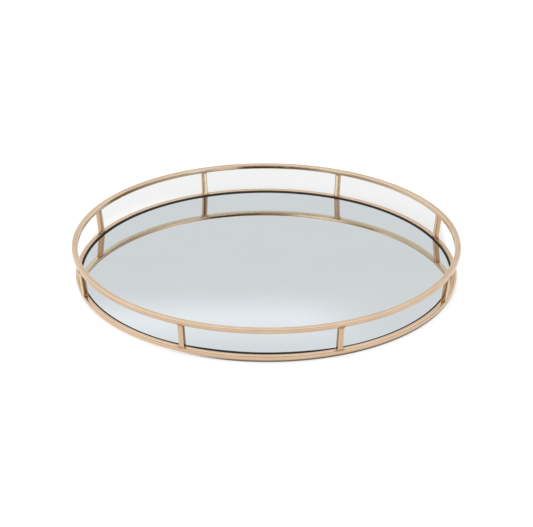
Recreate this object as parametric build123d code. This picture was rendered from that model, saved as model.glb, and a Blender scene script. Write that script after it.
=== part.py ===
from build123d import *
from build123d.topology import SkipClean
import math
import os

# Round mirrored vanity tray with an open metal gallery. Millimetres.
# Origin: centre of the footprint, on the surface that the tray stands on. +Z up, +Y to the back.

# Driving dimensions
OVERALL_RADIUS = 175.0      # outer radius of the top rail, the widest piece
OVERALL_HEIGHT = 31.5       # standing surface to the top face of the top rail
RAIL_WIDTH = 5.5            # radial width of the top rail's flat bar
RAIL_HEIGHT = 4.1
RAIL_EDGE_RADIUS = 1.0      # rounded long edges of the bar
RING_RADIUS = 172.4         # outer radius of the base ring
RING_WIDTH = 4.8
RING_HEIGHT = 4.0
RING_EDGE_RADIUS = 1.0
RING_CLEARANCE = 1.3        # gap under the base ring, left by the foot pads
POST_COUNT = 8
POST_SIZE = 4.8             # square bar
POST_EDGE_RADIUS = 0.5
GLASS_THICKNESS = 2.0
GLASS_ARRIS = 0.3           # ground edge of the glass
GLASS_BELOW_RING = 0.5      # the mirror lies just under the base ring's top face
SEAL_WIDTH = 1.2            # black bead between the glass and the base ring
SEAL_CROWN = 0.42           # how far the bead stands above the glass
SEAL_LAP = 45.0             # degrees of the base ring's rounded edge that the bead covers
TAPE_THICKNESS = 0.5
TAPE_WIDTH = 20.0
TAPE_COUNT = 5
TAPE_SPACING = 60.0
TAPE_EDGE_MARGIN = 14.0     # strips stop this far inside the edge of the glass
PLATE_THICKNESS = 0.6
PLATE_CLEARANCE = 0.1       # radial, inside the base ring
TACK_COUNT = 8
TACK_REACH = 1.2            # how far each weld bead spreads under the plate
TACK_LAP = 64.0             # degrees of the base ring's rounded lower edge where the weld ends
TACK_LENGTH = 10.0
PAD_COUNT = 6
PAD_RADIUS = 8.0
PAD_CIRCLE_RADIUS = 150.0

# Levels and radii that follow from them
ring_bottom = RING_CLEARANCE
ring_top = ring_bottom + RING_HEIGHT
ring_inner = RING_RADIUS - RING_WIDTH
upper_edge_level = ring_top - RING_EDGE_RADIUS     # where the base ring's upper edges start to round
lower_edge_level = ring_bottom + RING_EDGE_RADIUS  # and its lower ones
rail_top = OVERALL_HEIGHT
rail_bottom = rail_top - RAIL_HEIGHT
glass_top = ring_top - GLASS_BELOW_RING
glass_bottom = glass_top - GLASS_THICKNESS
glass_radius = ring_inner - SEAL_WIDTH
plate_top = glass_bottom - TAPE_THICKNESS
plate_bottom = plate_top - PLATE_THICKNESS
plate_radius = ring_inner - PLATE_CLEARANCE
pad_height = plate_bottom
post_step = 360.0 / POST_COUNT
first_post = post_step / 2  # a gallery window, not a post, is centred on each axis


def ring_edge_point(middle_level, turn):
    """A point of the base ring's rounded inner edge, turn degrees up (or down, below 0) from its side."""
    angle = math.radians(turn)
    return (
        ring_inner + RING_EDGE_RADIUS * (1 - math.cos(angle)),
        middle_level + RING_EDGE_RADIUS * math.sin(angle),
    )


def bar_ring(outer_radius, width, bottom, height, edge_radius):
    """A flat bar with rounded edges, bent to a circle and butt-welded."""
    section = Plane.XZ * Pos(outer_radius - width / 2, bottom + height / 2)
    section *= RectangleRounded(width, height, edge_radius)
    return revolve(section, Axis.Z)


def disc(radius, bottom, height):
    """A flat round plate standing on a level."""
    return Pos(0, 0, bottom) * Cylinder(radius, height, align=(Align.CENTER, Align.CENTER, Align.MIN))


def post(azimuth):
    """A square bar that leans out from the base ring's top face to the top rail's underside."""
    side = Polyline(
        (RING_RADIUS - POST_SIZE, ring_top),
        (RING_RADIUS, ring_top),
        (OVERALL_RADIUS, rail_bottom),
        (OVERALL_RADIUS - POST_SIZE, rail_bottom),
        close=True,
    )
    bar = extrude(Plane.XZ * make_face(side), POST_SIZE / 2, both=True)
    long_edges = bar.edges().filter_by(lambda edge: edge.length > POST_SIZE * 2)
    return Rot(0, 0, azimuth) * fillet(long_edges, POST_EDGE_RADIUS)


def mirror_glass():
    """The silvered glass disc, with its upper edge ground to a narrow arris."""
    glass = disc(glass_radius, glass_bottom, GLASS_THICKNESS)
    upper_edge = glass.edges().group_by(Axis.Z)[-1]
    return chamfer(upper_edge, GLASS_ARRIS)


def edge_seal():
    """The black bead that fills the gap round the glass, laid from post to post. It crowns above the glass
    and laps onto the base ring's rounded edge."""
    edge_start = ring_edge_point(upper_edge_level, 0)
    edge_end = ring_edge_point(upper_edge_level, SEAL_LAP)
    walls = Polyline((glass_radius, glass_top), (glass_radius, plate_top), (ring_inner, plate_top), edge_start)
    lap = ThreePointArc(edge_start, ring_edge_point(upper_edge_level, SEAL_LAP / 2), edge_end)
    peak = ((glass_radius + edge_end[0]) / 2, glass_top + SEAL_CROWN)
    crown = ThreePointArc(edge_end, peak, (glass_radius, glass_top))
    section = Plane.XZ * make_face(walls + lap + crown)
    length = revolve(section, Axis.Z, revolution_arc=post_step)
    with SkipClean():
        return length.fuse(*[Rot(0, 0, index * post_step) * length for index in range(1, POST_COUNT)])


def tape_strips():
    """Parallel strips of double-sided foam tape between the plate and the glass."""
    strips = []
    for index in range(TAPE_COUNT):
        offset = (index - (TAPE_COUNT - 1) / 2) * TAPE_SPACING
        far_side = abs(offset) + TAPE_WIDTH / 2
        half_length = math.sqrt((glass_radius - TAPE_EDGE_MARGIN) ** 2 - far_side**2)
        middle = Pos(0, offset, plate_top + TAPE_THICKNESS / 2)
        strips.append(middle * Box(2 * half_length, TAPE_WIDTH, TAPE_THICKNESS))
    return Compound(children=strips)


def tack_welds():
    """Short weld beads under the plate's edge that hold it to the base ring's rounded lower edge."""
    arc = math.degrees(TACK_LENGTH / ring_inner)
    start_turn = -math.degrees(math.asin((lower_edge_level - plate_bottom) / RING_EDGE_RADIUS))
    edge_start = ring_edge_point(lower_edge_level, start_turn)
    edge_middle = ring_edge_point(lower_edge_level, (start_turn - TACK_LAP) / 2)
    edge_end = ring_edge_point(lower_edge_level, -TACK_LAP)
    faces = Polyline(edge_end, (ring_inner - TACK_REACH, plate_bottom), edge_start)
    section = Plane.XZ * make_face(faces + ThreePointArc(edge_start, edge_middle, edge_end))
    bead = revolve(section, Axis.Z, revolution_arc=arc)
    step = 360.0 / TACK_COUNT
    return Compound(children=[Rot(0, 0, index * step - arc / 2) * bead for index in range(TACK_COUNT)])


def foot_pad(azimuth):
    """A self-adhesive felt disc under the plate."""
    return Rot(0, 0, azimuth) * Pos(PAD_CIRCLE_RADIUS, 0, 0) * disc(PAD_RADIUS, 0, pad_height)


nodes = {
    "top_rail": bar_ring(OVERALL_RADIUS, RAIL_WIDTH, rail_bottom, RAIL_HEIGHT, RAIL_EDGE_RADIUS),
    "base_ring": bar_ring(RING_RADIUS, RING_WIDTH, ring_bottom, RING_HEIGHT, RING_EDGE_RADIUS),
    "floor_plate": disc(plate_radius, plate_bottom, PLATE_THICKNESS),
    "plate_tack_welds": tack_welds(),
    "mirror_tape_strips": tape_strips(),
    "mirror_glass": mirror_glass(),
    "edge_seal": edge_seal(),
}
for index in range(POST_COUNT):
    nodes[f"post_{index + 1}"] = post(first_post + index * post_step)
for index in range(PAD_COUNT):
    nodes[f"foot_pad_{index + 1}"] = foot_pad(index * 360.0 / PAD_COUNT)

os.makedirs("parts", exist_ok=True)
for name, shape in nodes.items():
    export_step(shape, f"parts/{name}.step")
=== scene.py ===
import math

import bpy
import numpy as np
from mathutils import Matrix, Vector


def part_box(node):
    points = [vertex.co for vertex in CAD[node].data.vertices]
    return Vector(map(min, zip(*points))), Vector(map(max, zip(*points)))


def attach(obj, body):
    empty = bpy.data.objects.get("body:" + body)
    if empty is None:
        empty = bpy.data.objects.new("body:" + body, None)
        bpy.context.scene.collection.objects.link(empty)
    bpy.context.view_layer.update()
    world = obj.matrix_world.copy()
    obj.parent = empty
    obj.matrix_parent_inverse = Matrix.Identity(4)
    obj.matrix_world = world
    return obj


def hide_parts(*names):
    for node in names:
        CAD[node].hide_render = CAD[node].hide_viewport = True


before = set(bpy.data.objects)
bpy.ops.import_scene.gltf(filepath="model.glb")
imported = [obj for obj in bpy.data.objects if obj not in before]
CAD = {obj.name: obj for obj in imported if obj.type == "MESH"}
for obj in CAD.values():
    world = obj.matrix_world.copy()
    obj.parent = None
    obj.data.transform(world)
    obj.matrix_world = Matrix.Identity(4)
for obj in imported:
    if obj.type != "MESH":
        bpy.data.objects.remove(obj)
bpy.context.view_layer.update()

MM = 0.001
POST_COUNT = sum(name.startswith("post_") for name in CAD)
PAD_COUNT = sum(name.startswith("foot_pad_") for name in CAD)
POST_STEP = 2 * math.pi / POST_COUNT
FIRST_POST = POST_STEP / 2
random = np.random.default_rng(7)


# ---------------------------------------------------------------- sizes, read from the frame

def extent(cad_node):
    """(inner radius, outer radius, lowest z, highest z) of a CAD node, about the tray's axis."""
    points = np.array([v.co for v in CAD[cad_node].data.vertices])
    radius = np.hypot(points[:, 0], points[:, 1])
    return radius.min(), radius.max(), points[:, 2].min(), points[:, 2].max()


RAIL_INNER, RAIL_OUTER, RAIL_LOW, RAIL_HIGH = extent("top_rail")
RING_INNER, RING_OUTER, RING_LOW, RING_HIGH = extent("base_ring")
GLASS_RADIUS = extent("mirror_glass")[1]
GLASS_LOW, GLASS_HIGH = extent("mirror_glass")[2:]
SEAL_HIGH = extent("edge_seal")[3]
PLATE_HIGH = extent("floor_plate")[3]
POST_SIZE = RING_OUTER - RING_INNER


# ---------------------------------------------------------------- mesh tools

def make_object(name, points, faces, sharp_degrees=None, **attributes):
    """A smooth-shaded mesh piece with a float attribute on its points for each keyword."""
    mesh = bpy.data.meshes.new(name)
    mesh.from_pydata([tuple(p) for p in points], [], faces)
    mesh.validate()
    mesh.update()
    mesh.shade_smooth()
    if sharp_degrees:
        mesh.set_sharp_from_angle(angle=math.radians(sharp_degrees))
    for key, values in attributes.items():
        stored = mesh.attributes.new(key, "FLOAT", "POINT")
        stored.data.foreach_set("value", np.asarray(values, np.float32))
    piece = bpy.data.objects.new(name, mesh)
    bpy.context.scene.collection.objects.link(piece)
    return piece


def grid_faces(rows, columns, close_rows=False, first=0):
    """Quads between rows of points. Each row is a closed loop of columns points, and the first point of all
    has the number first."""
    faces = []
    for i in range(rows if close_rows else rows - 1):
        for j in range(columns):
            a, b = i * columns, (i + 1) % rows * columns
            k = (j + 1) % columns
            faces.append((first + a + j, first + a + k, first + b + k, first + b + j))
    return faces


def superellipse(half_width, half_height, power, count):
    """Points round a soft-cornered rectangle, and how far into a corner each point is, from 0 to 1."""
    turn = np.linspace(0, 2 * math.pi, count, endpoint=False)
    c, s = np.cos(turn), np.sin(turn)
    x = half_width * np.sign(c) * np.abs(c) ** (2 / power)
    y = half_height * np.sign(s) * np.abs(s) ** (2 / power)
    corner = np.clip(1 - np.abs(np.abs(c) - np.abs(s)) * 1.6, 0, 1)
    return x, y, corner


def wave(angle, seed, orders=(2, 3, 5, 8, 13)):
    """A smooth periodic ripple round the tray, between about -1 and 1."""
    phase = np.random.default_rng(seed).uniform(0, 2 * math.pi, len(orders))
    parts = [np.sin(n * angle + p) / (1 + 0.15 * n) for n, p in zip(orders, phase)]
    return sum(parts) / 2.4


def plateau(angle, middle, reach, power):
    """1 round the middle, falling to 0 beyond reach on both sides. The angle is in radians, and middle and
    reach are in degrees."""
    return np.exp(-((angle - math.radians(middle)) / math.radians(reach)) ** power)


def post_distance(angle):
    """How far along the ring each angle is from the nearest post, in radians."""
    offset = (angle - FIRST_POST + POST_STEP / 2) % POST_STEP - POST_STEP / 2
    return np.abs(offset)


# ---------------------------------------------------------------- node tools

def node(tree, kind, inputs=(), **settings):
    """A shader node. An input is a plain value or another node's output socket."""
    made = tree.nodes.new(kind)
    for key, value in settings.items():
        setattr(made, key, value)
    for key, value in dict(inputs).items():
        if isinstance(value, bpy.types.NodeSocket):
            tree.links.new(value, made.inputs[key])
        else:
            made.inputs[key].default_value = value
    return made


def maths(tree, operation, a, b=0.0):
    """A sum, product or function of one or two values."""
    return node(tree, "ShaderNodeMath", {0: a, 1: b}, operation=operation).outputs[0]


def span(tree, value, low, high, out_low=0.0, out_high=1.0):
    """The value moved smoothly from low..high to out_low..out_high, and held beyond them."""
    made = node(tree, "ShaderNodeMapRange", {"Value": value, "From Min": low, "From Max": high,
                                             "To Min": out_low, "To Max": out_high},
                interpolation_type="SMOOTHSTEP")
    return made.outputs["Result"]


def mix(tree, share, a, b):
    """Colour a where share is 0 and colour b where it is 1."""
    made = node(tree, "ShaderNodeMix", data_type="RGBA")
    for socket, value in ((made.inputs[0], share), (made.inputs[6], a), (made.inputs[7], b)):
        if isinstance(value, bpy.types.NodeSocket):
            tree.links.new(value, socket)
        elif isinstance(value, (int, float)):
            socket.default_value = value
        else:
            socket.default_value = (*value, 1)
    return made.outputs[2]


def noise(tree, where, scale, detail=3.0, roughness=0.5, **more):
    """Noise, mostly between 0.3 and 0.7. More inputs can be named, and w makes it four-dimensional."""
    inputs = {"Vector": where, "Scale": scale, "Detail": detail, "Roughness": roughness}
    inputs.update({key.title(): value for key, value in more.items()})
    dimensions = "4D" if "w" in more else "3D"
    return node(tree, "ShaderNodeTexNoise", inputs, noise_dimensions=dimensions).outputs["Fac"]


def attribute(tree, name):
    """A float attribute of the piece's points, which is 0 on pieces that haven't got it."""
    return node(tree, "ShaderNodeAttribute", attribute_name=name).outputs["Fac"]


def position(tree):
    """The place on the piece, in metres."""
    return node(tree, "ShaderNodeTexCoord").outputs["Object"]


def bump(tree, height, distance, strength=1.0, under=None):
    """A normal roughened by height, on top of the normal under it, if there is one."""
    inputs = {"Height": height, "Distance": distance, "Strength": strength}
    if under is not None:
        inputs["Normal"] = under
    return node(tree, "ShaderNodeBump", inputs).outputs["Normal"]


def new_material(name):
    """A material with a bare Principled shader: (material, its tree, the shader)."""
    made = bpy.data.materials.new(name)
    made.use_nodes = True
    tree = made.node_tree
    tree.nodes.clear()
    shader = node(tree, "ShaderNodeBsdfPrincipled")
    node(tree, "ShaderNodeOutputMaterial", {"Surface": shader.outputs[0]})
    return made, tree, shader


def connect(tree, shader, **sockets):
    """Links or sets the shader's sockets; Base_Color stands for Base Color."""
    for key, value in sockets.items():
        socket = shader.inputs[key.replace("_", " ")]
        if isinstance(value, bpy.types.NodeSocket):
            tree.links.new(value, socket)
        else:
            socket.default_value = value


# ---------------------------------------------------------------- materials

ROSE_GOLD = (0.84, 0.62, 0.43)
CHAMPAGNE = (0.87, 0.67, 0.48)
DEEP_ROSE = (0.74, 0.52, 0.35)
HEAT_TINT = (0.36, 0.15, 0.07)
BARE_NICKEL = (0.80, 0.72, 0.62)
# Painted shade: multiplied onto the plating's outer faces, undersides and post flanks, which are darker
# where less light falls on them.
PAINTED_FACE_SHADE = {
    "outside": (0.72, 0.70, 0.68, 1),
    "underside": (0.74, 0.84, 0.82, 1),
    "flank": (0.70, 0.60, 0.47, 1),
}


def polished_plating(name, round_the_ring, shade_share):
    """Electroplated rose gold over polished steel: drawn lines along the bar, soft handling marks, paler
    worn edges, painted shade on the outer faces, undersides and post flanks, and a reddish heat tint at the
    welds. The lines run round the ring or else straight up, and the last argument is the share of deep rose
    painted over the whole colour as shade, which makes a darker shaded copy."""
    made, tree, shader = new_material(name)
    lines_across = 260.0        # how fast the drawn lines change across the bar, per metre
    place = position(tree)
    parts = node(tree, "ShaderNodeSeparateXYZ", {0: place}).outputs
    if round_the_ring:
        radius = maths(tree, "SQRT", maths(tree, "ADD", maths(tree, "MULTIPLY", parts[0], parts[0]),
                                           maths(tree, "MULTIPLY", parts[1], parts[1])))
        along = node(tree, "ShaderNodeCombineXYZ", {
            0: maths(tree, "DIVIDE", parts[0], radius), 1: maths(tree, "DIVIDE", parts[1], radius),
            2: maths(tree, "MULTIPLY", radius, lines_across)}).outputs[0]
        lines = noise(tree, along, 9.0, 5.0, 0.65, w=maths(tree, "MULTIPLY", parts[2], lines_across))
    else:
        along = node(tree, "ShaderNodeCombineXYZ", {
            0: parts[0], 1: parts[1], 2: maths(tree, "MULTIPLY", parts[2], 0.04)}).outputs[0]
        lines = noise(tree, along, 2400.0, 5.0, 0.65)
    tone = noise(tree, place, 26.0, 2.0)
    blotch = noise(tree, place, 140.0, 4.0, 0.6)
    pits = noise(tree, place, 900.0, 2.0)
    weld = maths(tree, "MULTIPLY", attribute(tree, "weld"), span(tree, blotch, 0.3, 0.6, 0.45, 1.0))
    worn = maths(tree, "MULTIPLY", attribute(tree, "edge"), span(tree, blotch, 0.45, 0.7, 0.0, 0.55))
    colour = mix(tree, span(tree, tone, 0.35, 0.65), DEEP_ROSE, CHAMPAGNE)
    colour = mix(tree, 0.6, colour, ROSE_GOLD)
    # painted shade on the outer faces, undersides and post flanks
    for face, tint in PAINTED_FACE_SHADE.items():
        tinted = node(tree, "ShaderNodeMix", {0: attribute(tree, face), 6: colour, 7: tint},
                      data_type="RGBA", blend_type="MULTIPLY")
        colour = tinted.outputs[2]
    # deep rose painted over the colour as shade, for the base ring's darker copy
    colour = mix(tree, shade_share, colour, DEEP_ROSE)
    colour = mix(tree, worn, colour, BARE_NICKEL)
    colour = mix(tree, maths(tree, "MULTIPLY", weld, 0.75), colour, HEAT_TINT)
    rough = maths(tree, "ADD", span(tree, lines, 0.3, 0.75, 0.10, 0.18),
                  span(tree, blotch, 0.5, 0.75, 0.0, 0.07))
    rough = maths(tree, "ADD", rough, maths(tree, "MULTIPLY", weld, 0.22))
    surface = bump(tree, tone, 4e-5, 0.5)
    surface = bump(tree, lines, 2.5e-6, 0.5, surface)
    surface = bump(tree, maths(tree, "MULTIPLY", pits, weld), 6e-5, 0.7, surface)
    connect(tree, shader, Base_Color=colour, Metallic=1.0, Roughness=rough, Normal=surface)
    return made


def silvered_mirror():
    """Silvered glass seen from above: near-perfect reflection with wipe marks and a few dust specks."""
    made, tree, shader = new_material("silvered_mirror")
    place = position(tree)
    stretched = node(tree, "ShaderNodeMapping", {"Vector": place, "Rotation": (0, 0, 0.5),
                                                 "Scale": (1.0, 5.0, 1.0)}).outputs[0]
    wipes = noise(tree, stretched, 14.0, 6.0, 0.6, distortion=1.2)
    specks = node(tree, "ShaderNodeTexVoronoi", {"Vector": place, "Scale": 110.0}).outputs["Distance"]
    speck = span(tree, specks, 0.045, 0.02, 0.0, 1.0)
    colour = mix(tree, span(tree, wipes, 0.35, 0.7), (0.845, 0.872, 0.895), (0.862, 0.884, 0.905))
    colour = mix(tree, maths(tree, "MULTIPLY", speck, 0.25), colour, (0.60, 0.61, 0.62))
    rough = maths(tree, "ADD", span(tree, wipes, 0.45, 0.8, 0.008, 0.035),
                  maths(tree, "MULTIPLY", speck, 0.15))
    connect(tree, shader, Base_Color=colour, Metallic=1.0, Roughness=rough)
    return made


def ground_glass_edge():
    """The ground arris and edge of the glass: grey-green and satin."""
    made, tree, shader = new_material("ground_glass_edge")
    grind = noise(tree, position(tree), 1500.0, 3.0, 0.7)
    colour = mix(tree, span(tree, grind, 0.3, 0.7), (0.10, 0.14, 0.13), (0.20, 0.26, 0.24))
    connect(tree, shader, Base_Color=colour, Roughness=span(tree, grind, 0.3, 0.7, 0.22, 0.45),
            Normal=bump(tree, grind, 2e-5, 0.5))
    return made


def black_bead():
    """Satin black silicone with dust in it, lighter and browner along the back."""
    made, tree, shader = new_material("black_bead")
    place = position(tree)
    lumps = noise(tree, place, 420.0, 3.0)
    dust = noise(tree, place, 1800.0, 2.0, 0.7)
    # lighter and browner along the back of the tray
    rubber = mix(tree, attribute(tree, "bloom"), (0.014, 0.011, 0.007), (0.062, 0.050, 0.042))
    colour = mix(tree, span(tree, dust, 0.58, 0.78, 0.0, 0.5), rubber, (0.06, 0.05, 0.04))
    connect(tree, shader, Base_Color=colour, Roughness=span(tree, lumps, 0.3, 0.7, 0.4, 0.6),
            Specular_IOR_Level=0.08, Normal=bump(tree, lumps, 6e-5, 0.6))
    return made


def satin_sheet():
    """Rolled sheet steel under the same plating, never polished: grain one way, and plating stains."""
    made, tree, shader = new_material("satin_plated_sheet")
    place = position(tree)
    grain_place = node(tree, "ShaderNodeMapping", {"Vector": place, "Scale": (0.03, 1.0, 1.0)}).outputs[0]
    grain = noise(tree, grain_place, 1600.0, 4.0, 0.7)
    stain = noise(tree, place, 22.0, 5.0, 0.6, distortion=0.8)
    colour = mix(tree, span(tree, stain, 0.35, 0.65), (0.56, 0.38, 0.26), (0.66, 0.49, 0.35))
    rough = maths(tree, "ADD", span(tree, grain, 0.3, 0.7, 0.26, 0.42), span(tree, stain, 0.5, 0.7, 0, 0.1))
    connect(tree, shader, Base_Color=colour, Metallic=1.0, Roughness=rough,
            Normal=bump(tree, grain, 1.5e-5, 0.6))
    return made


def weld_metal():
    """Undressed weld: rippled, dull, with brown and straw heat colours under the plating."""
    made, tree, shader = new_material("weld_metal")
    place = position(tree)
    heat = noise(tree, place, 300.0, 4.0, 0.6)
    colour = mix(tree, span(tree, heat, 0.35, 0.65), (0.26, 0.13, 0.08), (0.58, 0.43, 0.29))
    connect(tree, shader, Base_Color=colour, Metallic=1.0, Roughness=span(tree, heat, 0.3, 0.7, 0.5, 0.3),
            Normal=bump(tree, noise(tree, place, 1500.0, 3.0), 8e-5, 0.6))
    return made


def felt():
    """Dense black wool felt."""
    made, tree, shader = new_material("black_felt")
    place = position(tree)
    fibres = noise(tree, place, 2600.0, 5.0, 0.75, distortion=1.5)
    tufts = noise(tree, place, 420.0, 4.0, 0.6)
    colour = mix(tree, span(tree, fibres, 0.35, 0.7), (0.018, 0.017, 0.016), (0.085, 0.080, 0.075))
    colour = mix(tree, span(tree, tufts, 0.55, 0.8, 0.0, 0.5), colour, (0.13, 0.12, 0.11))
    connect(tree, shader, Base_Color=colour, Roughness=span(tree, fibres, 0.3, 0.7, 0.8, 1.0),
            Sheen_Weight=0.35, Sheen_Roughness=0.5,
            Normal=bump(tree, fibres, 2e-4, 0.8, bump(tree, tufts, 2e-4, 0.5)))
    return made


def foam_tape():
    """White closed-cell foam."""
    made, tree, shader = new_material("foam_tape")
    place = position(tree)
    cells = node(tree, "ShaderNodeTexVoronoi", {"Vector": place, "Scale": 2200.0}).outputs["Distance"]
    colour = mix(tree, span(tree, cells, 0.1, 0.7), (0.62, 0.62, 0.60), (0.84, 0.84, 0.82))
    connect(tree, shader, Base_Color=colour, Roughness=span(tree, cells, 0.1, 0.7, 0.95, 0.8),
            Normal=bump(tree, cells, 1e-4, 0.5))
    return made


RAIL_PLATING = polished_plating("rose_gold_rail", True, 0.0)
# The ring's copy is darker: deep rose painted over it as shade.
RING_PLATING = polished_plating("rose_gold_ring", True, 0.4)
POST_PLATING = polished_plating("rose_gold_post", False, 0.0)
MIRROR = silvered_mirror()
GLASS_EDGE = ground_glass_edge()
BEAD = black_bead()
SHEET = satin_sheet()
WELD = weld_metal()
FELT = felt()
FOAM = foam_tape()


# ---------------------------------------------------------------- pieces

RAIL_POWER = 6.0                # squareness of each bar's soft-cornered section
RING_POWER = 5.0
POST_POWER = 6.0
RAIL_LEAN = math.radians(4)     # the rail's bar leans outwards a little, as its posts do
SILVER_DEPTH = 0.9 * MM         # how far under the glass's face its silvered back seems to lie
WEB = 1.3 * MM                  # how far a post's ends run into the rings, as the dressed weld does
FLARE = 0.7 * MM                # fillet of dressed weld at both ends of a post


def finished(piece, material, cad_node):
    """Gives a piece its body, and its material if it has none, and hides the CAD node that it stands for."""
    if not piece.data.materials:
        piece.data.materials.append(material)
    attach(piece, "root")
    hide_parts(cad_node)


def bent_bar(name, inner, outer, low, high, power, lean, seed, weld_level):
    """A bar bent to a circle by rollers, so it waves by a few hundredths of a millimetre. Its section leans
    outwards by the angle lean, in radians, and the posts are welded to it at weld_level."""
    steps, round_points = 480, 56
    waver = 0.05 * MM
    weld_reach, weld_height, weld_fade = 3.0 * MM, 1.6 * MM, 1.4 * MM
    drift = (high - low) / 2 * math.tan(lean)
    across, up, corner = superellipse((outer - inner) / 2 - waver, (high - low) / 2 - waver / 2,
                                      power, round_points)
    angle = np.linspace(0, 2 * math.pi, steps, endpoint=False)[:, None]
    radius = (inner + outer) / 2 - drift + (across + up * math.tan(lean))[None] + waver * wave(angle, seed)
    height = (low + high) / 2 + up[None] + waver / 2 * wave(angle, seed + 1)
    points = np.stack([radius * np.cos(angle), radius * np.sin(angle), height], -1).reshape(-1, 3)
    away = post_distance(angle) * (inner + outer) / 2 - POST_SIZE / 2
    near = np.clip(1 - away / weld_reach, 0, 1)
    near = near * np.clip(1 - np.abs(height - weld_level) / weld_height, 0, 1)
    weld = near * np.clip(1.2 - np.clip(-away, 0, None) / weld_fade, 0.1, 1)
    # masks for the painted shade on the bar's outer face and underside
    outside = np.clip(across / across.max() * 1.6 - 0.5, 0, 1) * np.clip(1.3 - up / up.max(), 0, 1)
    underside = np.clip(-up / up.max() * 2.0 - 1.0, 0, 1)
    faces = grid_faces(steps, round_points, close_rows=True)
    return make_object(name, points, [f[::-1] for f in faces], edge=np.tile(corner, steps),
                       outside=np.tile(outside, steps), underside=np.tile(underside, steps),
                       weld=weld.reshape(-1))


def gallery_post(index):
    """A square bar from ring to rail, with a small dressed weld at its foot and head."""
    round_points, heat_reach = 44, 1.5 * MM
    rail_inset, inset = 0.04 * MM, 0.03 * MM
    ends = np.array([0, 0.12, 0.3, 0.55, 1.0])
    shaft = np.linspace(RING_HIGH + heat_reach, RAIL_LOW - heat_reach, 16)
    levels = np.concatenate([
        [RING_HIGH - WEB], RING_HIGH + FLARE * ends, shaft, RAIL_LOW - FLARE * ends[::-1], [RAIL_LOW + WEB]])
    lean = (RAIL_OUTER - RING_OUTER) / (RAIL_LOW - RING_HIGH)
    points, edge, weld, flank, outside = [], [], [], [], []
    for level in levels:
        gap = min(max(level - RING_HIGH, 0), max(RAIL_LOW - level, 0))
        left = max(FLARE - gap, 0)
        flare = FLARE - math.sqrt(max(FLARE**2 - left**2, 0))
        x, y, corner = superellipse(POST_SIZE / 2, POST_SIZE / 2 + flare, POST_POWER, round_points)
        # mask for the painted shade on the post's outer face
        outside.append(np.clip(6 * x / x.max() - 5, 0, 1))
        outer_face = min(RING_OUTER + (level - RING_HIGH) * lean, RAIL_OUTER - rail_inset)
        x = x + outer_face - POST_SIZE / 2 - inset
        points.append(np.stack([x, y, np.full(round_points, level)], -1))
        edge.append(corner)
        # mask for the painted shade on the post's sides
        flank.append(np.clip(6 * np.abs(y) / np.abs(y).max() - 5, 0, 1) * np.clip(1.6 - 1.6 * corner, 0, 1))
        weld.append(np.full(round_points, np.clip(1 - gap / heat_reach, 0, 1)))
    points = np.concatenate(points)
    faces = grid_faces(len(levels), round_points)
    faces.append(tuple(reversed(range(round_points))))
    faces.append(tuple(range(len(points) - round_points, len(points))))
    piece = make_object(f"gallery_post_{index + 1}", points, faces, edge=np.concatenate(edge),
                        flank=np.concatenate(flank), outside=np.concatenate(outside),
                        weld=np.concatenate(weld))
    piece.data.set_sharp_from_angle(angle=math.radians(60))
    piece.data.transform(Matrix.Rotation(FIRST_POST + index * POST_STEP, 4, "Z"))
    return piece


def lathe(name, profile, steps, sharp_degrees=None):
    """A piece turned about Z from an open profile that starts and ends on the axis, from bottom to top."""
    bottom, top, rim = profile[0], profile[-1], profile[1:-1]
    angle = np.linspace(0, 2 * math.pi, steps, endpoint=False)
    points = [(0, 0, bottom[1])]
    for radius, height in rim:
        points += [(radius * math.cos(a), radius * math.sin(a), height) for a in angle]
    points.append((0, 0, top[1]))
    faces = grid_faces(len(rim), steps, first=1)
    last = len(points) - 1
    for j in range(steps):
        k = (j + 1) % steps
        faces.append((0, 1 + k, 1 + j))
        faces.append((last, last - steps + j, last - steps + k))
    return make_object(name, points, faces, sharp_degrees)


def mirror_disc():
    """The silvered glass disc with its ground edge. Its top is where the silver seems to lie, seen through
    the clear glass above it."""
    arris = 0.3 * MM
    inside = GLASS_RADIUS - arris
    top = GLASS_HIGH - SILVER_DEPTH
    profile = [(0, GLASS_LOW), (inside, GLASS_LOW), (GLASS_RADIUS, GLASS_LOW + arris),
               (GLASS_RADIUS, top - arris), (inside, top), (0, top)]
    piece = lathe("mirror", profile, 384, sharp_degrees=20)
    piece.data.materials.append(MIRROR)
    piece.data.materials.append(GLASS_EDGE)
    for face in piece.data.polygons:
        middle = face.center
        flat_top = abs(face.normal.z) > 0.99 and middle.z > (GLASS_LOW + GLASS_HIGH) / 2
        face.material_index = 0 if flat_top else 1
    return piece


def seal_bead():
    """The black bead in the gap round the glass, laid by hand: its crown rises and falls a little. It is
    wide in front and low at the back. Its inner wall goes down to where the mirror's silver seems to lie."""
    steps, across = 480, 12
    angle = np.linspace(0, 2 * math.pi, steps, endpoint=False)[:, None]
    t = np.linspace(0, 1, across)[None]
    front, back = plateau(angle, 269, 22, 4), plateau(angle, 88, 72, 6)
    glass_lap = (0.1 + 2.4 * front + 0.07 * wave(angle, 21, (5, 9, 17, 29))) * MM
    ring_lap = (0.12 + 1.35 * front) * MM
    inner, outer = GLASS_RADIUS - glass_lap, RING_INNER + ring_lap
    crown = (SEAL_HIGH - GLASS_HIGH) * (0.92 + 0.08 * wave(angle, 22, (4, 7, 19, 31))) * (1 - 0.5 * back)
    radius = inner + (outer - inner) * t
    height = GLASS_HIGH + 0.01 * MM + crown * np.sin(math.pi * t) ** 0.6
    foot = GLASS_HIGH - SILVER_DEPTH - 0.1 * MM
    round_all = np.zeros_like(angle)
    wall, plate, foot = GLASS_RADIUS + round_all, PLATE_HIGH + round_all, foot + round_all
    radius = np.concatenate([radius, outer, wall, wall, inner], 1)
    height = np.concatenate([height, plate, plate, foot, foot], 1)
    points = np.stack([radius * np.cos(angle), radius * np.sin(angle), height], -1).reshape(-1, 3)
    # how far each point lies along the back, where the bead is lighter
    bloom = np.broadcast_to(back, height.shape).ravel()
    return make_object("seal_bead", points, grid_faces(steps, across + 4, close_rows=True), sharp_degrees=60,
                       bloom=bloom)


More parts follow.
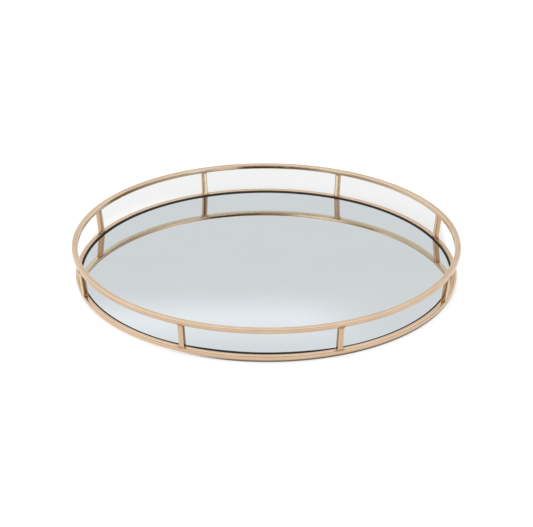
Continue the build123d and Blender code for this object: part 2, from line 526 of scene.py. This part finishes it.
def felt_foot(index):
    """A die-cut felt disc, its rim a little soft."""
    low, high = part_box(f"foot_pad_{index + 1}")
    centre, radius, thick = (low + high) / 2, (high.x - low.x) / 2, high.z - low.z
    soft, nap = 0.35 * MM, 0.12 * MM
    profile = [(0, 0)] + [(r * radius, 0) for r in (0.3, 0.6, 0.85)]
    profile += [(radius - soft + soft * math.sin(a), soft - soft * math.cos(a))
                for a in np.linspace(0.1, math.pi / 2, 5)]
    profile += [(radius, thick * 0.6), (radius - 0.1 * MM, thick), (radius * 0.5, thick), (0, thick)]
    piece = lathe(f"felt_foot_{index + 1}", profile, 96)
    fuzz = np.random.default_rng(100 + index)
    for vertex in piece.data.vertices:
        outward = Vector((vertex.co.x, vertex.co.y, 0))
        if outward.length > radius * 0.9:
            vertex.co -= outward.normalized() * fuzz.uniform(0, nap)
    piece.data.transform(Matrix.Translation((centre.x, centre.y, low.z)))
    return piece


def tack_beads():
    """Eight short rippled weld beads in the corner under the floor plate."""
    inner, outer, low, high = extent("plate_tack_welds")
    leg, length = outer - inner, 10 * MM
    beads, ripples, steps, around = 8, 7, 57, 9
    points, faces = [], []
    for bead in range(beads):
        first = len(points)
        for i in range(steps):
            t = i / (steps - 1)
            end = min(1, 4 * t, 4 * (1 - t)) ** 0.5
            size = end * (0.82 + 0.18 * abs(math.sin(math.pi * ripples * t)))
            size *= 1 - 0.08 * random.random()
            angle = bead * 2 * math.pi / beads + (t - 0.5) * length / outer
            for j in range(around):
                turn = math.pi / 2 * j / (around - 1)
                radius = outer - leg * size * math.cos(turn)
                height = high - (high - low) * size * math.sin(turn)
                points.append((radius * math.cos(angle), radius * math.sin(angle), height))
            points.append((outer * math.cos(angle), outer * math.sin(angle), high))
        columns = around + 1
        faces += grid_faces(steps, columns, first=first)
        faces.append(tuple(first + j for j in range(columns)))
        faces.append(tuple(first + (steps - 1) * columns + j for j in reversed(range(columns))))
    return make_object("tack_beads", points, [f[::-1] for f in faces], sharp_degrees=50)


finished(bent_bar("gallery_rail", RAIL_INNER, RAIL_OUTER, RAIL_LOW, RAIL_HIGH, RAIL_POWER,
                  lean=RAIL_LEAN, seed=3, weld_level=RAIL_LOW),
         RAIL_PLATING, "top_rail")
finished(bent_bar("base_hoop", RING_INNER, RING_OUTER, RING_LOW, RING_HIGH, RING_POWER,
                  lean=0.0, seed=11, weld_level=RING_HIGH),
         RING_PLATING, "base_ring")
for index in range(POST_COUNT):
    finished(gallery_post(index), POST_PLATING, f"post_{index + 1}")
for index in range(PAD_COUNT):
    finished(felt_foot(index), FELT, f"foot_pad_{index + 1}")
finished(mirror_disc(), MIRROR, "mirror_glass")
finished(seal_bead(), BEAD, "edge_seal")
finished(tack_beads(), WELD, "plate_tack_welds")
for cad_name, material in (("floor_plate", SHEET), ("mirror_tape_strips", FOAM)):
    CAD[cad_name].data.materials.clear()
    CAD[cad_name].data.materials.append(material)


# ---------------------------------------------------------------- stage, light and camera

def between(tree, value, low, high, soft):
    """1 where the value lies between low and high, falling to 0 over soft at each end."""
    rise = span(tree, value, low - soft, low + soft)
    return maths(tree, "MULTIPLY", rise, span(tree, value, high + soft, high - soft))


def lay(tree, under, over, where):
    """The brightness under, covered by the brightness over as far as where says."""
    made = node(tree, "ShaderNodeMix", {0: where, 2: under, 3: over}, data_type="FLOAT")
    return made.outputs[0]


def pale_floor():
    """A wide pale table top, unseen from underneath, whose glow is even except for painted light and shade.
    Painted contact shade makes it dim and warm where the tray stands on it, but less so in the middle and on
    the left.
    Painted light makes it lighter next to the ring on the left, and a painted soft shadow lies behind the
    tray."""
    size, level = 12.0, -0.1 * MM
    corners = [(-size, -size, level), (size, -size, level), (size, size, level), (-size, size, level)]
    piece = make_object("pale_floor", corners, [(0, 1, 2, 3)])
    made = bpy.data.materials.new("pale_floor")
    made.use_nodes = True
    tree = made.node_tree
    tree.nodes.clear()
    place = position(tree)
    x, y, _ = node(tree, "ShaderNodeSeparateXYZ", {0: place}).outputs
    flat = node(tree, "ShaderNodeCombineXYZ", {0: x, 1: y}).outputs[0]
    radius = node(tree, "ShaderNodeVectorMath", {0: flat}, operation="LENGTH").outputs["Value"]

    # Painted contact shade: the glow is dim where the tray stands, less so in the middle and on the left.
    left = span(tree, x, -20 * MM, -80 * MM)
    middle = span(tree, radius, RING_OUTER - 8 * MM, RING_OUTER - 14 * MM)
    covered = lay(tree, lay(tree, 0.10, 0.75, left), 0.5, middle)
    # painted light next to the ring on the left
    painted_light_beside = maths(tree, "MULTIPLY", span(tree, x, -60 * MM, -120 * MM),
                   span(tree, radius, RING_OUTER + 25 * MM, RING_OUTER + 8 * MM))
    # painted soft shadow behind the tray, taken off the floor's glow
    shadow_centre = (0.0, 70.5 * MM, 0.0)
    from_centre = node(tree, "ShaderNodeVectorMath", {0: flat, 1: shadow_centre}, operation="DISTANCE")
    shadow = maths(tree, "MULTIPLY", span(tree, from_centre.outputs["Value"], 178 * MM, 171 * MM),
                   span(tree, maths(tree, "ABSOLUTE", x), 170 * MM, 162 * MM))
    shadow = maths(tree, "MULTIPLY", shadow, span(tree, y, 0.0, 30 * MM))
    uncovered = maths(tree, "SUBTRACT", lay(tree, 0.66, 0.76, painted_light_beside), maths(tree, "MULTIPLY", shadow, 0.23))

    clear_of_ring = span(tree, radius, RING_OUTER - 1.3 * MM, RING_OUTER - 0.3 * MM)
    strength = lay(tree, covered, uncovered, clear_of_ring)
    cloud = noise(tree, place, 3.0, 3.0)
    colour = mix(tree, span(tree, cloud, 0.3, 0.7), (0.39, 0.39, 0.39), (0.41, 0.41, 0.41))
    # painted warm contact shade under the tray
    colour = mix(tree, clear_of_ring, (0.30, 0.23, 0.17), colour)
    paper = node(tree, "ShaderNodeBsdfDiffuse", {"Color": colour})
    glow = node(tree, "ShaderNodeEmission", {"Color": (1, 1, 1, 1), "Strength": strength})
    both = node(tree, "ShaderNodeAddShader", {0: paper.outputs[0], 1: glow.outputs[0]})
    clear = node(tree, "ShaderNodeBsdfTransparent")
    below = node(tree, "ShaderNodeNewGeometry").outputs["Backfacing"]
    sided = node(tree, "ShaderNodeMixShader", {0: below, 1: both.outputs[0], 2: clear.outputs[0]})
    node(tree, "ShaderNodeOutputMaterial", {"Surface": sided.outputs[0]})
    piece.data.materials.append(made)


def ramp(tree, value, stops):
    """A curve through (place, brightness) stops, with places from 0 to 1. Brightness may pass 1."""
    made = node(tree, "ShaderNodeFloatCurve", {"Value": value})
    curve = made.mapping.curves[0]
    top = max(brightness for _, brightness in stops)
    for place, brightness in stops[1:-1]:
        curve.points.new(place, brightness / top)
    curve.points[0].location = (stops[0][0], stops[0][1] / top)
    curve.points[-1].location = (stops[-1][0], stops[-1][1] / top)
    for point in curve.points:
        point.handle_type = "VECTOR"
    made.mapping.update()
    return maths(tree, "MULTIPLY", made.outputs[0], top)


def studio_room():
    """The room round the table, by direction in degrees: turn is 0 in front of the tray and 90 on its right,
    and lift is the height above the horizon. Low down the room is bright all round. Above that the walls
    have a lower and an upper band of dark and bright stretches, which the rail's inner wall shows directly
    and in the mirror. In front are a dark strip and a dark figure, and on the right front a cool panel.
    Behind the tray is a lit sweep with a glare on its left."""
    world = bpy.data.worlds.new("studio_room")
    bpy.context.scene.world = world
    world.use_nodes = True
    tree = world.node_tree
    tree.nodes.clear()
    direction = node(tree, "ShaderNodeTexCoord").outputs["Generated"]
    x, y, z = node(tree, "ShaderNodeSeparateXYZ", {0: direction}).outputs
    turn = maths(tree, "DEGREES", maths(tree, "ARCTAN2", x, maths(tree, "MULTIPLY", y, -1.0)))
    turned = maths(tree, "ABSOLUTE", turn)
    lift = maths(tree, "DEGREES", maths(tree, "ARCSINE", z))

    # places round the room: 0 and 1 behind the tray, 0.25 on its left, 0.5 in front and 0.75 on its right
    round_the_room = maths(tree, "ADD", maths(tree, "DIVIDE", turn, 360.0), 0.5)
    lower = ramp(tree, round_the_room, [
        (0, 0.7), (0.08, 0.55), (0.13, 0.85), (0.17, 0.9), (0.25, 0.84), (0.28, 0.62), (0.30, 0.56),
        (0.34, 0.46), (0.385, 0.38), (0.40, 0.68), (0.42, 0.33), (0.47, 0.12), (0.49, 0.04), (0.546, 0.03),
        (0.557, 0.75), (0.585, 1.0), (0.605, 0.42), (0.66, 0.56), (0.70, 0.5), (0.75, 0.31), (0.78, 0.16),
        (0.81, 0.15), (0.83, 0.6), (0.86, 0.8), (0.90, 0.6), (0.94, 0.5), (1, 0.7)])
    upper = ramp(tree, round_the_room, [
        (0, 0.6), (0.17, 0.55), (0.24, 0.65), (0.27, 0.8), (0.30, 0.26), (0.335, 0.42), (0.365, 0.95),
        (0.40, 1.2), (0.44, 1.1), (0.47, 0.36), (0.51, 0.32), (0.53, 0.09), (0.605, 0.07), (0.63, 0.75),
        (0.68, 0.95), (0.72, 0.65), (0.76, 0.46), (0.84, 0.40), (0.9, 0.5), (1, 0.6)])
    walls = lay(tree, 0.85, 1.1, span(tree, lift, 45, 75))
    walls = lay(tree, walls, lower, span(tree, lift, 24, 22))
    upper_top = span(tree, turn, 16, 24, 37, 52)
    below_top = span(tree, maths(tree, "SUBTRACT", lift, upper_top), 3, -3)
    walls = lay(tree, walls, upper, maths(tree, "MULTIPLY", span(tree, lift, 25, 27), below_top))
    strip = maths(tree, "MULTIPLY", between(tree, lift, 36.5, 46, 1.5), span(tree, turned, 70, 60))
    walls = lay(tree, walls, 0.09, strip)
    figure = maths(tree, "MULTIPLY", between(tree, turn, -14, 15, 3), between(tree, lift, 36, 60, 3))
    walls = lay(tree, walls, 0.10, figure)

    low_top = lay(tree, 7.5, 13.0, between(tree, turned, 39, 51, 3))
    low_light = lay(tree, 1.05, 1.35, span(tree, turned, 100, 70))
    walls = lay(tree, walls, low_light, span(tree, maths(tree, "SUBTRACT", lift, low_top), 1.5, -1.5))

    sweep = ramp(tree, maths(tree, "MAXIMUM", z, 0.0), [
        (0, 0.95), (0.25, 0.85), (0.34, 0.70), (0.39, 0.72), (0.4, 0.735), (0.44, 0.735), (0.452, 0.745),
        (0.467, 0.75), (0.487, 0.80), (0.51, 1.0), (0.6, 1.25), (0.7, 1.2), (0.8, 0.9), (0.87, 0.84),
        (1, 0.86)])
    sweep = maths(tree, "MULTIPLY", sweep, span(tree, maths(tree, "ABSOLUTE", x), 0.12, 0.20, 1.0, 1.35))
    glare = maths(tree, "MULTIPLY", between(tree, lift, 27.4, 28.3, 0.6), span(tree, x, 0.045, -0.01))
    sweep = maths(tree, "ADD", sweep, maths(tree, "MULTIPLY", glare, 0.19))
    walls = lay(tree, walls, sweep, span(tree, turned, 150, 160))

    cool_panel = maths(tree, "MULTIPLY", between(tree, turn, 39, 51, 3), span(tree, lift, 15, 12))
    walls = maths(tree, "MULTIPLY", walls, lay(tree, 1.0, 1.22, cool_panel))
    colour = mix(tree, span(tree, walls, 0.45, 0.12), (0.975, 1.0, 1.01), (1.0, 0.80, 0.52))
    colour = mix(tree, cool_panel, colour, (0.80, 1.04, 1.06))
    light = node(tree, "ShaderNodeBackground", {"Color": colour, "Strength": walls})
    node(tree, "ShaderNodeOutputWorld", {"Surface": light.outputs[0]})


def softbox(name, place, size, power):
    """A square area lamp aimed at the tray."""
    lamp = bpy.data.lights.new(name, "AREA")
    lamp.shape, lamp.size, lamp.energy = "SQUARE", size, power
    box = bpy.data.objects.new(name, lamp)
    bpy.context.scene.collection.objects.link(box)
    box.location = place
    box.visible_glossy = False
    box.rotation_mode = "QUATERNION"
    box.rotation_quaternion = (-Vector(place)).to_track_quat("-Z", "Y")


def camera():
    """Looks down at the tray from in front and slightly from the right, aimed a little below the centre of
    the rail."""
    distance = 9.32 * RAIL_OUTER
    elevation, azimuth, roll = math.radians(25.30), math.radians(1.57), math.radians(0.17)
    aim_down, aim_right = math.radians(0.7922), math.radians(0.00634)
    lens = bpy.data.cameras.new("camera")
    lens.sensor_width, lens.lens = 36.0, 122.11632
    lens.clip_start, lens.clip_end = 0.01, 60.0
    seat = bpy.data.objects.new("camera", lens)
    bpy.context.scene.collection.objects.link(seat)
    back = Vector((math.sin(azimuth) * math.cos(elevation), -math.cos(azimuth) * math.cos(elevation),
                   math.sin(elevation)))
    seat.location = Vector((0, 0, RAIL_HIGH)) + back * distance
    look = (-back).to_track_quat("-Z", "Y").to_matrix().to_4x4()
    turn = Matrix.Rotation(-aim_down, 4, "X") @ Matrix.Rotation(-aim_right, 4, "Y")
    turn = turn @ Matrix.Rotation(roll, 4, "Z")
    seat.matrix_world = Matrix.Translation(seat.location) @ look @ turn
    bpy.context.scene.camera = seat


pale_floor()
studio_room()
softbox("softbox_overhead", (0.0, 0.2, 2.0), 2.4, 23.0)
camera()
bpy.context.scene.view_settings.view_transform = "Standard"
